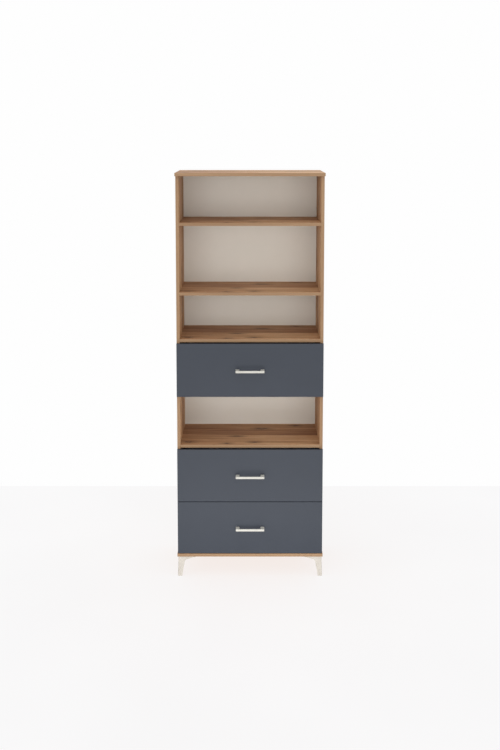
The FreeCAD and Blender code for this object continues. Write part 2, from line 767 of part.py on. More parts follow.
def make_euro_screw():
    """The runners' screw: its countersunk head ends flush with the web."""
    cone = "({euro_head} - {euro_screw}) / 2"
    body = make_turned("euro_screw", (
        ("0", "0"), ("{euro_head} / 2", "0"), ("{euro_screw} / 2", cone),
        ("{euro_screw} / 2", "{euro_length}"), ("0", "{euro_length}"),
    ))
    cut_cross(body, "0", "{euro_head} / 4")
    return body


def make_dowel():
    """A dowel with chamfered ends, from the bottom of its bore in the face."""
    taper = "{dowel} / 2 - {dowel_chamfer}"
    return make_turned("dowel", (
        ("0", "0"), (taper, "0"), ("{dowel} / 2", "{dowel_chamfer}"),
        ("{dowel} / 2", "{dowel_length} - {dowel_chamfer}"), (taper, "{dowel_length}"),
        ("0", "{dowel_length}"),
    ))


def make_cam_bolt():
    """The bolt, from the bottom of its bore in the face to the middle of the disc."""
    head = "{face_bore} - {fit} + {cam_reach}"
    neck = "{cam_head} / 2"
    return make_turned("cam_bolt", (
        ("0", "0"), ("{cam_shank} / 2", "0"), ("{cam_shank} / 2", f"{head} - {neck}"),
        (neck, f"{head} - {neck}"), (neck, head), ("0", head),
    ))


def make_cam_disc():
    """The disc, with its face at Z = 0, a slot round the bolt and a cross for the driver."""
    body = document.addObject("PartDesign::Body", "cam_disc_piece")
    circle = new_sketch(body, "XY_Plane")
    draw_circle(circle, "0", "0", "{cam_disc}")
    add_pad(body, circle, "{cam_depth} - {fit}")
    slot = new_sketch(body, "XY_Plane", "({board} - {cam_head}) / 2 - {fit}")
    half = "({cam_head} / 2 + {fit})"
    draw_rectangle(slot, ("-{cam_disc}", f"-{half}"), (half, half))
    add_pocket(body, slot, "{cam_depth}", True)
    cut_cross(body, "0", "{cam_disc} / 4")
    return body


def add_group(label, pieces):
    """One part of many like solids: each is a fastener, its place and its rotation."""
    links = []
    for fastener, place, rotation in pieces:
        link = document.addObject("App::Link", f"{label}_link")
        link.LinkedObject = fastener
        bind_place(link, place, rotation)
        links.append(link)
    join_bodies(label, links)


def along_axis(direction):
    return Rotation(UP, direction)


def board_joints():
    """Each end of each board: across, up, the bolt's way into the board and the disc's way out."""
    joints = []
    for sign, outward in ((-1, LEFT), (1, RIGHT)):
        inward = outward.negative()
        for height in SHELVES.values():
            joints.append((f"{sign} * ({{inner_width}}) / 2", f"{height} + {{board}} / 2", inward, DOWN))
        across = f"{sign} * ({{carcass_width}} - {{board}}) / 2"
        joints.append((across, "{side_z}", UP, inward))
        joints.append((across, "{top_z}", DOWN, inward))
    return joints


def shifted(across, up, direction, distance):
    """A place in the X-Z plane, moved along a direction by a formula."""
    return (f"{across} + {direction.x} * ({distance})", f"{up} + {direction.z} * ({distance})")


def make_board_fittings():
    """A cam fitting and a dowel at each of the two places along the depth, in every joint."""
    bolt = make_cam_bolt()
    disc = make_cam_disc()
    dowel = make_dowel()
    cams = []
    dowels = []
    for across, up, inward, face in board_joints():
        bore_end = shifted(across, up, inward, "{fit} - {face_bore}")
        middle = shifted(across, up, inward, "{cam_reach}")
        disc_face = shifted(*middle, face, "{board} / 2")
        disc_turn = Rotation(inward, Vector(), face.negative(), "ZXY")
        for along in FITTINGS:
            cams.append((bolt, (bore_end[0], along, bore_end[1]), along_axis(inward)))
            cams.append((disc, (disc_face[0], along, disc_face[1]), disc_turn))
        for along in DOWELS:
            dowels.append((dowel, (bore_end[0], along, bore_end[1]), along_axis(inward)))
    add_group("cam_fittings", cams)
    add_group("wood_dowels", dowels)


def make_rail_screws():
    screw = make_euro_screw()
    pieces = []
    for drawer in DRAWERS:
        for index in range(RAIL_SCREWS):
            along = f"{{rail_setback}} + {rail_screw(index)}"
            for sign, outward in ((-1, LEFT), (1, RIGHT)):
                across = f"{sign} * (({{inner_width}}) / 2 - {{rail_sheet}})"
                pieces.append((screw, (across, along, rail_middle(drawer)), along_axis(outward)))
    add_group("rail_screws", pieces)


def make_leg_screws():
    screw = make_pan_screw("leg_screw", "{wood_screw}", "{leg_screw_length}", "{wood_screw}")
    pieces = []
    for x, y in leg_screw_places():
        place = (f"{x} - ({{panel_width}}) / 2", f"{y} - ({{front_stack}})", "{leg_height} - {leg_plate}")
        pieces.append((screw, place, along_axis(UP)))
    add_group("leg_screws", pieces)


def slide_screw_places(drawer):
    """The screws of a drawer's two slides: each place and the way its shank points."""
    places = []
    for index in range(RAIL_SCREWS):
        along = f"{{rail_setback}} + {rail_screw(index)}"
        for sign, inward in ((-1, RIGHT), (1, LEFT)):
            across = f"{sign} * (({{inner_width}}) / 2 - {{rail_depth}} + {{rail_sheet}})"
            places.append(((across, along, rail_middle(drawer)), inward))
    return places


def make_drawer_screws():
    """The screws of each box, of its front and its slides, and apart from them those of its handle."""
    wood_screw = make_pan_screw("box_screw", "{wood_screw}", "{box_screw_length}", "{wood_screw}")
    slide_screw = make_pan_screw("slide_screw", "{wood_screw}", "{slide_screw_length}", "{wood_screw}")
    bolt_length = "({box_board} + {front_board} + {post_bore} - {fit})"
    machine_screw = make_pan_screw("handle_screw", "{machine_screw}", bolt_length, "{fit}")
    for drawer in DRAWERS:
        inner_face = f"{BOX_Y} + {{box_board}}"
        pieces = []
        for up in BOX_SCREWS_Z:
            height = f"{box_z(drawer)} + {up}"
            for along in BOX_SCREWS_Y:
                y = f"{BOX_Y} + {along}"
                pieces.append((wood_screw, ("-({box_width}) / 2", y, height), along_axis(RIGHT)))
                pieces.append((wood_screw, ("({box_width}) / 2", y, height), along_axis(LEFT)))
            for across in FRONT_SCREWS_X:
                pieces.append((wood_screw, (across, inner_face, height), along_axis(OUT)))
        for place, inward in slide_screw_places(drawer):
            pieces.append((slide_screw, place, along_axis(inward)))
        add_group(f"drawer_{drawer}_box_screws", pieces)
        height = f"{{front_{drawer}_z}} + {HANDLE_Z}"
        places = [(across, inner_face, height) for across in HANDLE_SCREWS_X]
        add_group(f"drawer_{drawer}_handle_screws",
                  [(machine_screw, place, along_axis(OUT)) for place in places])


def make_carcass():
    make_side("side_left", "-{carcass_width} / 2", "right")
    make_side("side_right", "{carcass_width} / 2 - {board}", "left")
    make_panel("top_panel", "{top_z}", "bottom")
    bottom = make_panel("bottom_panel", "{leg_height}", "top")
    pilots = [(across, along, "{screw_hole}") for across, along in leg_screw_places()]
    bottom.cut("bottom", "{leg_screw_length} - {leg_plate} + {fit}", pilots)
    for label, height in SHELVES.items():
        make_shelf(label, height)
    make_back()
    for label in LEGS:
        make_leg(label)


def make_drawer(drawer):
    make_front(drawer)
    make_inner_front(drawer)
    make_box_side(drawer, "left", "-({box_width}) / 2", "right")
    make_box_side(drawer, "right", "({box_width}) / 2 - {box_board}", "left")
    make_box_back(drawer)
    make_box_bottom(drawer)
    make_handle(drawer)
    for side in RUNNERS:
        parts.append(make_cabinet_rail(drawer, side))
        parts.append(make_drawer_rail(drawer, side))
    join_bodies(f"drawer_{drawer}_mid_rails", [make_middle_rail(drawer, side) for side in RUNNERS])


make_carcass()
for drawer_number in DRAWERS:
    make_drawer(drawer_number)
make_board_fittings()
make_rail_screws()
make_leg_screws()
make_drawer_screws()
document.recompute()

# Nothing is written unless every feature is sound and every pocket took some material away.
for item in document.Objects:
    if {"Invalid", "Error"} & set(item.State):
        raise RuntimeError(f"{item.Label} failed: {item.State}")
    if item.TypeId == "PartDesign::Pocket":
        if item.Shape.Volume > item.BaseFeature.Shape.Volume - 1e-3:
            raise RuntimeError(f"{item.Label} cuts nothing")
for item in parts:
    if item.Shape.isNull() or not item.Shape.isValid():
        raise RuntimeError(f"{item.Label} has no valid shape")

os.makedirs("parts", exist_ok=True)
for item in parts:
    item.Shape.exportStep(f"parts/{item.Label}.step")
    print(item.Label, len(item.Shape.Solids), round(item.Shape.Volume / 1000, 2), "cm3")
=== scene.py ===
import math

import bmesh
import bpy
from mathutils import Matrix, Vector


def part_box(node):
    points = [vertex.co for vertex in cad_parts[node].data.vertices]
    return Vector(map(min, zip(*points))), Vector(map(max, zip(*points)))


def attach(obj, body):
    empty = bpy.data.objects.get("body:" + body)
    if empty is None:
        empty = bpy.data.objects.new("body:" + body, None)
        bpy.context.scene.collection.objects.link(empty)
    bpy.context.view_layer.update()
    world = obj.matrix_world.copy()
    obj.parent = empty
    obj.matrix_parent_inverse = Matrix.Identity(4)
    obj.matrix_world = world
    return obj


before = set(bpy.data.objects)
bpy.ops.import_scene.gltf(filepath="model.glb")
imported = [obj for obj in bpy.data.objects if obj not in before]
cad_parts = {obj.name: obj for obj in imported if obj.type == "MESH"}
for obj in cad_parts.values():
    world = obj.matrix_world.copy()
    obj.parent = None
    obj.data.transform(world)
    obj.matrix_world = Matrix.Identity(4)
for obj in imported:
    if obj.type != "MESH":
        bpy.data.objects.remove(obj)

# Tall bookcase with three drawers: the finish of every board and fitting, the runners' ball cages
# and the drawers' bumpers, on a pale floor in soft light. Metres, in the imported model's frame.

DRAWERS = ("1", "2", "3")

# Camera. The photograph's frame is 500 x 750 pixels.
FRAME_HEIGHT_PX = 750
FOCAL_PX = 991
SENSOR = 36.0                # millimetres along the frame's long side
CAMERA_PLACE = (0, -5.136, 2.302)
CAMERA_PITCH = math.radians(-6.2)
CAMERA_SHIFT = -0.18

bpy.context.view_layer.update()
scene = bpy.context.scene


# Finishes: how their nodes are made

SQUARE_ON = 0.6              # a surface looks along an axis from this share of its direction on
EDGE_SAMPLES = 6
EDGE_BEND = (0.995, 0.8)     # agreement of the flat and the rounded direction: off an edge, on it
# Where most of a noise lies. Colours and roughness go from one end of a span to the other.
NOISE_SPAN = (0.35, 0.65)
WIDE_SPAN = (0.3, 0.7)
MIX_SPAN = (0.36, 0.64)      # for two noises mixed
RAW_BOARD_ROUGHNESS = 0.9
RAW_FIBRE_ROUGHNESS = 0.85


def tone(red, green, blue):
    """A colour as it shows on a screen, 0 to 255, in linear light."""
    def linear(level):
        share = level / 255
        return share / 12.92 if share <= 0.04045 else ((share + 0.055) / 1.055) ** 2.4
    return (linear(red), linear(green), linear(blue), 1)


class Nodes:
    """A tree of shader nodes, with short calls that add to it."""

    def __init__(self, tree):
        self.tree = tree

    def wire(self, value, socket):
        """Links a socket to the one that is given, or sets it to the number or colour."""
        if isinstance(value, bpy.types.NodeSocket):
            self.tree.links.new(value, socket)
        else:
            socket.default_value = value

    def node(self, kind, inputs, **settings):
        node = self.tree.nodes.new(kind)
        for name, setting in settings.items():
            setattr(node, name, setting)
        for key, value in inputs.items():
            self.wire(value, node.inputs[key])
        return node

    def math(self, operation, *values):
        return self.node("ShaderNodeMath", dict(enumerate(values)), operation=operation).outputs[0]

    def plus(self, one, other):
        return self.math("ADD", one, other)

    def minus(self, one, other):
        return self.math("SUBTRACT", one, other)

    def times(self, one, other):
        return self.math("MULTIPLY", one, other)

    def mix(self, one, other, share):
        """Two numbers added up, the first with this share and the second with the rest."""
        return self.math("MULTIPLY_ADD", one, share, self.times(other, 1 - share))

    def join(self, x, y, z=0.0):
        return self.node("ShaderNodeCombineXYZ", {"X": x, "Y": y, "Z": z}).outputs[0]

    def split(self, vector):
        return self.node("ShaderNodeSeparateXYZ", {"Vector": vector}).outputs

    def stretch(self, vector, factors):
        """The vector with each component multiplied by its own factor."""
        inputs = {0: vector, 1: factors}
        return self.node("ShaderNodeVectorMath", inputs, operation="MULTIPLY").outputs[0]

    def place(self):
        """Where the point lies on the piece, in metres, at rest."""
        return self.node("ShaderNodeTexCoord", {}).outputs["Object"]

    def facing(self, axis):
        """How far the surface looks along an axis of the piece, from -1 to 1."""
        return self.split(self.node("ShaderNodeTexCoord", {}).outputs["Normal"])[axis]

    def rearward(self):
        """1 on surfaces that look to the rear, 0 elsewhere."""
        return self.math("GREATER_THAN", self.facing("Y"), SQUARE_ON)

    def downward(self):
        """1 on surfaces that look down, 0 elsewhere."""
        return self.math("LESS_THAN", self.facing("Z"), -SQUARE_ON)

    def square_to(self, axis):
        """1 on surfaces that look along an axis, either way, 0 elsewhere."""
        return self.math("GREATER_THAN", self.math("ABSOLUTE", self.facing(axis)), SQUARE_ON)

    def noise(self, vector, scale, detail=3.0, roughness=0.55, distortion=0.0):
        """A smooth noise from 0 to 1, with about so many waves per unit of the vector."""
        inputs = {"Vector": vector, "Scale": scale, "Detail": detail, "Roughness": roughness}
        inputs["Distortion"] = distortion
        return self.node("ShaderNodeTexNoise", inputs).outputs["Fac"]

    def cells(self, vector, scale):
        """A random colour for each cell, with about so many cells per unit of the vector."""
        inputs = {"Vector": vector, "Scale": scale}
        return self.node("ShaderNodeTexVoronoi", inputs).outputs["Color"]

    def fade(self, value, span, low=0.0, high=1.0):
        """A smooth step from low to high as the value goes over the span."""
        inputs = {"Value": value, "From Min": span[0], "From Max": span[1]}
        inputs.update({"To Min": low, "To Max": high})
        node = self.node("ShaderNodeMapRange", inputs, interpolation_type="SMOOTHSTEP")
        return node.outputs[0]

    def choose(self, factor, one, other):
        """A number between two, by the factor."""
        return self.node("ShaderNodeMix", {0: factor, 2: one, 3: other}).outputs[0]

    def blend(self, factor, one, other, kind="MIX"):
        """A colour between two, by the factor."""
        inputs = {0: factor, 6: one, 7: other}
        node = self.node("ShaderNodeMix", inputs, data_type="RGBA", blend_type=kind)
        return node.outputs[2]

    def ramp(self, factor, *stops):
        """A colour from a scale of (place, colour) stops."""
        node = self.node("ShaderNodeValToRGB", {"Fac": factor})
        scale = node.color_ramp.elements
        for position, _ in stops[2:]:
            scale.new(position)
        for element, (position, colour) in zip(scale, stops):
            element.position = position
            element.color = colour
        return node.outputs[0]

    def tones(self, factor, span, dark, light):
        """A colour from dark to light as the factor goes over the span."""
        return self.ramp(factor, (span[0], dark), (span[1], light))

    def edges(self, radius):
        """1 along the sharp and rounded edges within a radius, 0 on flat faces."""
        inputs = {"Radius": radius}
        rounded = self.node("ShaderNodeBevel", inputs, samples=EDGE_SAMPLES).outputs[0]
        flat = self.node("ShaderNodeNewGeometry", {}).outputs["Normal"]
        inputs = {0: rounded, 1: flat}
        node = self.node("ShaderNodeVectorMath", inputs, operation="DOT_PRODUCT")
        return self.fade(node.outputs["Value"], EDGE_BEND)

    def wear_and_edge_light(self, colour, edge_tone, radius, share):
        """The colour, with a share of the edge tone along the edges within a radius: real wear on
        some finishes, a painted highlight or painted shade on others.
        """
        return self.blend(self.times(self.edges(radius), share), colour, edge_tone)

    def relief(self, height, depth):
        """A bump as deep as the depth in metres."""
        return self.node("ShaderNodeBump", {"Height": height, "Distance": depth}).outputs[0]


class Finish(Nodes):
    """A material with one Principled shader, and the nodes that feed it."""

    def __init__(self, name):
        self.material = bpy.data.materials.new(name)
        self.material.use_nodes = True
        super().__init__(self.material.node_tree)
        self.shader = self.tree.nodes["Principled BSDF"]

    def set(self, **inputs):
        """Wires values to the shader's sockets; an underscore stands for a space."""
        for name, value in inputs.items():
            self.wire(value, self.shader.inputs[name.replace("_", " ")])


# Oak-look laminate

DECOR_REPEAT = 1.5           # the printed pattern comes back after this length
EDGE_SHIFT = 0.9             # keeps the banded edges off the knots
# Knots of the pattern: along the grain, across it, and half their width across.
KNOTS = (
    (0.064, 0.112, 0.042),
    (-0.119, -0.142, 0.026),
    (-0.316, -0.118, 0.034),
    (-0.068, -0.020, 0.030),
    (0.250, 0.170, 0.026),
    (0.020, -0.122, 0.028),
    (0.580, 0.030, 0.034),
    (-0.600, 0.100, 0.021),
)
KNOT_LENGTH = 2.3            # times its width
# Round a knot, measured from its middle in half widths.
PULL_REACH = 1.4             # the grain bends round the knot up to here
PULL = 0.7                   # and by this share at its middle
KNOT_EYE = (0.35, 0.95)      # the rings fade out over this
KNOT_CORE = (0.16, 0.40)     # and the dark core over this
RING_PITCH = 34.0            # radians of the rings' wave
RING_SWING = 0.10            # how dark the rings are: the swing
RING_LEVEL = 0.42            # and the level that it is about
TATTER = (38.0, 120.0)       # waves per metre along and across the grain that fray the knot
TATTER_DEPTH = 0.9
SWAY = (1.7, 4.0)            # waves per metre of the grain's slow bends
SWAY_DEPTH = 0.04
# Noises of the grain: waves per metre along and across it, detail, roughness, distortion.
GRAIN = {
    "clouds": (0.8, 7.0, 3.0, 0.55, 0.0),
    "bands": (1.1, 24.0, 4.0, 0.6, 0.25),
    "streaks": (1.9, 70.0, 5.0, 0.62, 0.3),
    "fibres": (14.0, 520.0, 3.0, 0.6, 0.0),
    "pores": (70.0, 1700.0, 2.0, 0.55, 0.0),
    "shakes": (9.0, 130.0, 3.0, 0.6, 0.0),
}
FIGURE_SHARES = {"bands": 0.36, "clouds": 0.26, "streaks": 0.28, "fibres": 0.10}
HUE_SPAN = (0.38, 0.62)
PORE_SPAN = (0.58, 0.70)
SHAKE_SPAN = (0.60, 0.66)
SHAKE_BANDS = (0.52, 0.38)   # dark cracks show in the dark bands alone
SHAKE_SHARE = 0.75
OAK_TONES = (
    (0.37, tone(100, 64, 42)),
    (0.46, tone(154, 114, 82)),
    (0.54, tone(190, 150, 112)),
    (0.63, tone(212, 176, 138)),
)
RED_CAST = (1.0, 0.90, 0.84, 1)
YELLOW_CAST = (1.0, 1.0, 0.94, 1)
KNOT_TONE = tone(52, 31, 20)
PORE_TONE = tone(84, 56, 38)
BAND_SPAN = (0.34, 0.62)
BAND_DARK = tone(134, 104, 76)
BAND_LIGHT = tone(155, 125, 95)
# Painted highlight: the paler tone laid along the boards' edges.
OAK_EDGE_HIGHLIGHT = tone(180, 150, 116)
# Shares of the casts, knots and pores in the colour, the roughness and the relief.
CAST_SHARE = 0.5
KNOT_SHARE = 0.85
PORE_SHARE = 0.35
PORE_ROUGHNESS = 0.14
PORE_DEPTH = 0.8


def make_figure():
    """The group that draws oak figure from places along and across the grain."""
    tree = bpy.data.node_groups.new("oak_figure", "ShaderNodeTree")
    for name in ("Along", "Across", "Seed"):
        tree.interface.new_socket(name, in_out="INPUT", socket_type="NodeSocketFloat")
    for name in ("Tone", "Knot", "Pore", "Hue"):
        tree.interface.new_socket(name, in_out="OUTPUT", socket_type="NodeSocketFloat")
    f = Nodes(tree)
    along, across, seed, _ = tree.nodes.new("NodeGroupInput").outputs

    def swing(waves, detail):
        """A noise about 0, with so many waves per metre along and across the grain."""
        place = f.join(f.times(along, waves[0]), f.times(across, waves[1]), seed)
        return f.minus(f.noise(place, 1.0, detail), 0.5)

    flow = across
    knots = 0.0
    tatter = f.times(swing(TATTER, 3.0), TATTER_DEPTH)
    for knot_along, knot_across, size in KNOTS:
        beside = f.minus(across, knot_across)
        ahead = f.minus(f.plus(along, seed), knot_along)
        ahead = f.math("WRAP", ahead, DECOR_REPEAT / 2, -DECOR_REPEAT / 2)
        from_middle = f.join(
            f.math("DIVIDE", ahead, size * KNOT_LENGTH),
            f.math("DIVIDE", beside, size),
        )
        measure = f.node("ShaderNodeVectorMath", {0: from_middle}, operation="LENGTH")
        reach = measure.outputs["Value"]
        pull = f.fade(reach, (0.0, PULL_REACH), PULL, 0.0)
        flow = f.minus(flow, f.times(pull, beside))
        torn = f.plus(reach, tatter)
        ring = f.math("SINE", f.times(torn, RING_PITCH))
        ring = f.math("MULTIPLY_ADD", ring, RING_SWING, RING_LEVEL)
        eye = f.times(f.fade(torn, KNOT_EYE, 1.0, 0.0), ring)
        knot = f.math("MAXIMUM", f.fade(torn, KNOT_CORE, 1.0, 0.0), eye)
        knots = f.math("MAXIMUM", knots, knot)
    flow = f.plus(flow, f.times(swing(SWAY, 2.0), SWAY_DEPTH))
    grain = f.join(along, flow, seed)
    noises = {}
    for name, (lengthwise, crosswise, detail, roughness, distortion) in GRAIN.items():
        place = f.stretch(grain, (lengthwise, crosswise, 1.0))
        noises[name] = f.noise(place, 1.0, detail, roughness, distortion)
    figure = 0.0
    for name, share in FIGURE_SHARES.items():
        figure = f.math("MULTIPLY_ADD", noises[name], share, figure)
    shakes = f.times(f.fade(noises["shakes"], SHAKE_SPAN), f.fade(noises["bands"], SHAKE_BANDS))
    outputs = tree.nodes.new("NodeGroupOutput").inputs
    f.wire(figure, outputs["Tone"])
    f.wire(f.math("MAXIMUM", knots, f.times(shakes, SHAKE_SHARE)), outputs["Knot"])
    f.wire(f.fade(noises["clouds"], HUE_SPAN), outputs["Hue"])
    f.wire(f.fade(noises["pores"], PORE_SPAN), outputs["Pore"])
    return tree


# Raw chipboard

FLAKES = 420.0               # per metre
FLAKE_SHAPE = (1.0, 1.0, 2.2)
FLAKE_TONES = (
    (0.0, tone(112, 82, 54)),
    (0.35, tone(176, 142, 100)),
    (0.7, tone(202, 172, 128)),
    (1.0, tone(220, 196, 156)),
)
DUST = 2600.0                # grains of pale glue per metre
GLUE_TONE = tone(158, 124, 84)
GLUE_SPAN = (0.42, 0.6)
GLUE_SHARE = 0.5


def chipboard(f, place):
    """Colour and height of a raw chipboard edge: pressed flakes, some dark, in pale glue."""
    flake = f.split(f.cells(f.stretch(place, FLAKE_SHAPE), FLAKES))[0]
    dust = f.fade(f.noise(place, DUST, detail=2.0), GLUE_SPAN, 0.0, GLUE_SHARE)
    return f.blend(dust, f.ramp(flake, *FLAKE_TONES), GLUE_TONE), flake


def make_oak(name, figure_group, grain, seed):
    """Laminate whose grain runs along X or Z, with a banded front edge and a raw rear edge."""
    f = Finish(name)
    place = f.place()
    rearward = f.rearward()
    part = f.split(place)
    length, thickness = ("X", "Z") if grain == "X" else ("Z", "X")
    on_face = f.square_to(thickness)
    inputs = {
        "Along": f.choose(f.square_to(length), part[length], part["Y"]),
        "Across": f.choose(on_face, f.plus(part[thickness], EDGE_SHIFT), part["Y"]),
        "Seed": seed,
    }
    figure = f.node("ShaderNodeGroup", inputs, node_tree=figure_group)
    shade, knot, pore, hue = figure.outputs
    face = f.ramp(shade, *OAK_TONES)
    face = f.blend(CAST_SHARE, face, f.blend(hue, RED_CAST, YELLOW_CAST), "MULTIPLY")
    face = f.blend(f.times(knot, KNOT_SHARE), face, KNOT_TONE)
    colour = f.blend(on_face, f.tones(shade, BAND_SPAN, BAND_DARK, BAND_LIGHT), face)
    colour = f.blend(f.times(pore, PORE_SHARE), colour, PORE_TONE)
    raw, flake = chipboard(f, place)
    # Painted highlight: a paler tone along every edge of the board.
    colour = f.wear_and_edge_light(f.blend(rearward, colour, raw), OAK_EDGE_HIGHLIGHT, radius=0.0011, share=0.2)
    f.set(Base_Color=colour, Specular_IOR_Level=0.28)
    rough = f.math("MULTIPLY_ADD", pore, PORE_ROUGHNESS, f.fade(shade, WIDE_SPAN, 0.66, 0.54))
    f.set(Roughness=f.choose(rearward, rough, RAW_BOARD_ROUGHNESS))
    height = f.math("MULTIPLY_ADD", pore, -PORE_DEPTH, shade)
    f.set(Normal=f.relief(f.choose(rearward, height, flake), depth=0.00025))
    return f.material


# The other finishes

SLATE_DARK = tone(48, 53, 62)
SLATE_LIGHT = tone(52, 57, 66)
# Painted highlight: the paler tone laid along the fronts' edges.
SLATE_EDGE_HIGHLIGHT = tone(116, 124, 138)
CREAM_DARK = tone(228, 226, 216)
CREAM_LIGHT = tone(232, 230, 221)
FIBRE_SHAPE = (1.0, 1.0, 0.35)
REAR_TONES = (
    (0.36, tone(108, 79, 54)),
    (0.52, tone(131, 98, 69)),
    (0.66, tone(152, 118, 85)),
)
POWDER_DARK = tone(180, 174, 165)
POWDER_LIGHT = tone(188, 182, 173)
# Painted shade: the darker tone laid along the legs' edges.
POWDER_EDGE_SHADE = tone(170, 164, 154)
BRUSHED_SHAPE = (30.0, 2600.0, 2600.0)
SATIN_DARK = tone(180, 178, 170)
SATIN_LIGHT = tone(194, 192, 184)
SATIN_WORN = tone(210, 208, 202)
LINEN_THREADS = ((60.0, 1500.0), (1500.0, 60.0))    # waves per metre round the box, and up it
LINEN_SPAN = (0.44, 0.68)
LINEN_GLOSS_SPAN = (0.4, 0.7)
LINEN_DARK = tone(208, 205, 197)
LINEN_LIGHT = tone(227, 225, 219)
LINEN_WORN = tone(196, 186, 168)
SHEET_DARK = tone(214, 211, 204)
SHEET_LIGHT = tone(226, 224, 218)
UNDERSIDE_DARK = tone(104, 76, 52)
UNDERSIDE_LIGHT = tone(150, 117, 84)
METAL_WORN = tone(232, 233, 235)
METAL_ROUGHNESS_SPREAD = 0.14
FLECK_SHAPE = (60.0, 700.0, 700.0)
BEECH_DARK = tone(176, 132, 92)
BEECH_LIGHT = tone(214, 178, 136)
RUBBER_DARK = tone(206, 208, 206)
RUBBER_LIGHT = tone(232, 233, 230)
FLOOR_DARK = tone(78, 112, 123)
FLOOR_LIGHT = tone(80, 114, 125)
FLOOR_GLOW_DARK = tone(237, 226, 222)
FLOOR_GLOW_LIGHT = tone(239, 228, 224)
# Metals: dark and light tone, least roughness, stretch of the streaks along Y, their scale, relief.
METALS = {
    "runner_zinc_plate": (tone(180, 184, 189), tone(202, 206, 210), 0.28, 0.04, 1400.0, 0.00001),
    "cage_steel": (tone(150, 152, 156), tone(190, 192, 196), 0.3, 0.2, 900.0, 0.00002),
    "ball_steel": (tone(196, 198, 202), tone(224, 226, 229), 0.1, 1.0, 700.0, 0.000005),
    "screw_zinc_plate": (tone(150, 152, 155), tone(196, 198, 200), 0.28, 0.2, 900.0, 0.00003),
    "cast_zinc": (tone(128, 130, 134), tone(172, 174, 178), 0.38, 1.0, 500.0, 0.00008),
}


def make_slate():
    """Satin slate-grey laminate: a fine pearl texture, slightly cloudy, with a painted highlight
    that makes it paler at the edges.
    """
    f = Finish("slate")
    place = f.place()
    clouds = f.noise(place, 7.0, detail=4.0)
    speckle = f.noise(place, 700.0, roughness=0.6)
    colour = f.tones(f.mix(speckle, clouds, 0.5), MIX_SPAN, SLATE_DARK, SLATE_LIGHT)
    # Painted highlight: a paler tone along every edge of the front.
    colour = f.wear_and_edge_light(colour, SLATE_EDGE_HIGHLIGHT, radius=0.0012, share=0.16)
    f.set(Base_Color=colour, Specular_IOR_Level=0.32)
    f.set(Roughness=f.fade(clouds, WIDE_SPAN, 0.46, 0.50))
    pearl = f.noise(place, 1500.0, detail=2.0, roughness=0.5)
    f.set(Normal=f.relief(pearl, depth=0.00008))
    return f.material


def make_back():
    """Cream-coated hardboard, with its raw brown fibre side to the rear."""
    f = Finish("cream_back_sheet")
    place = f.place()
    rearward = f.rearward()
    clouds = f.noise(place, 5.0, detail=4.0)
    cream = f.tones(clouds, NOISE_SPAN, CREAM_DARK, CREAM_LIGHT)
    fibre = f.noise(f.stretch(place, FIBRE_SHAPE), 900.0, detail=4.0, roughness=0.7)
    brown = f.ramp(f.mix(clouds, fibre, 0.15), *REAR_TONES)
    f.set(Base_Color=f.blend(rearward, cream, brown))
    satin = f.fade(clouds, WIDE_SPAN, 0.42, 0.52)
    f.set(Roughness=f.choose(rearward, satin, RAW_FIBRE_ROUGHNESS))
    paper = f.noise(place, 1300.0)
    inputs = {"Vector": place, "Scale": 160.0, "Distortion": 2.0, "Detail": 2.0}
    mesh = f.node("ShaderNodeTexWave", inputs).outputs["Fac"]
    f.set(Normal=f.relief(f.choose(rearward, paper, mesh), depth=0.00005))
    return f.material


def make_powder_coat():
    """Cream powder coat: a fine orange peel, with painted shade that makes it slightly darker on
    the edges.
    """
    f = Finish("cream_powder_coat")
    place = f.place()
    colour = f.tones(f.noise(place, 30.0), NOISE_SPAN, POWDER_DARK, POWDER_LIGHT)
    # Painted shade: a darker tone along every edge of the leg.
    f.set(Base_Color=f.wear_and_edge_light(colour, POWDER_EDGE_SHADE, radius=0.0012, share=0.30))
    peel = f.noise(place, 620.0, detail=2.0, roughness=0.45)
    f.set(Roughness=f.fade(peel, NOISE_SPAN, 0.36, 0.46))
    f.set(Normal=f.relief(peel, depth=0.00012))
    return f.material


def make_handle_metal():
    """Satin lacquered handle metal, brushed along the bar."""
    f = Finish("satin_handle")
    place = f.place()
    brushed = f.noise(f.stretch(place, BRUSHED_SHAPE), 1.0, roughness=0.6)
    mixed = f.mix(brushed, f.noise(place, 40.0), 0.5)
    colour = f.tones(mixed, MIX_SPAN, SATIN_DARK, SATIN_LIGHT)
    colour = f.wear_and_edge_light(colour, SATIN_WORN, radius=0.0011, share=0.3)
    f.set(Base_Color=colour, Specular_IOR_Level=0.6)
    f.set(Roughness=f.fade(brushed, NOISE_SPAN, 0.36, 0.46))
    f.set(Normal=f.relief(brushed, depth=0.00002))
    return f.material


def make_linen():
    """White melamine of the drawer boxes, embossed like linen, with raw lower edges."""
    f = Finish("linen_melamine")
    place = f.place()
    x, y, z = f.split(place)
    around = f.plus(x, y)
    warp, weft = (
        f.noise(f.join(f.times(around, sideways), f.times(z, upward)), 1.0, detail=2.0)
        for sideways, upward in LINEN_THREADS
    )
    weave = f.math("MAXIMUM", warp, weft)
    mixed = f.mix(weave, f.noise(place, 12.0), 0.8)
    raw, flake = chipboard(f, place)
    downward = f.downward()
    colour = f.blend(downward, f.tones(mixed, LINEN_SPAN, LINEN_DARK, LINEN_LIGHT), raw)
    f.set(Base_Color=f.wear_and_edge_light(colour, LINEN_WORN, radius=0.0009, share=0.25))
    embossed = f.fade(weave, LINEN_GLOSS_SPAN, 0.5, 0.38)
    f.set(Roughness=f.choose(f.square_to("Z"), embossed, 0.5))
    f.set(Normal=f.relief(f.choose(downward, weave, flake), depth=0.00008))
    return f.material


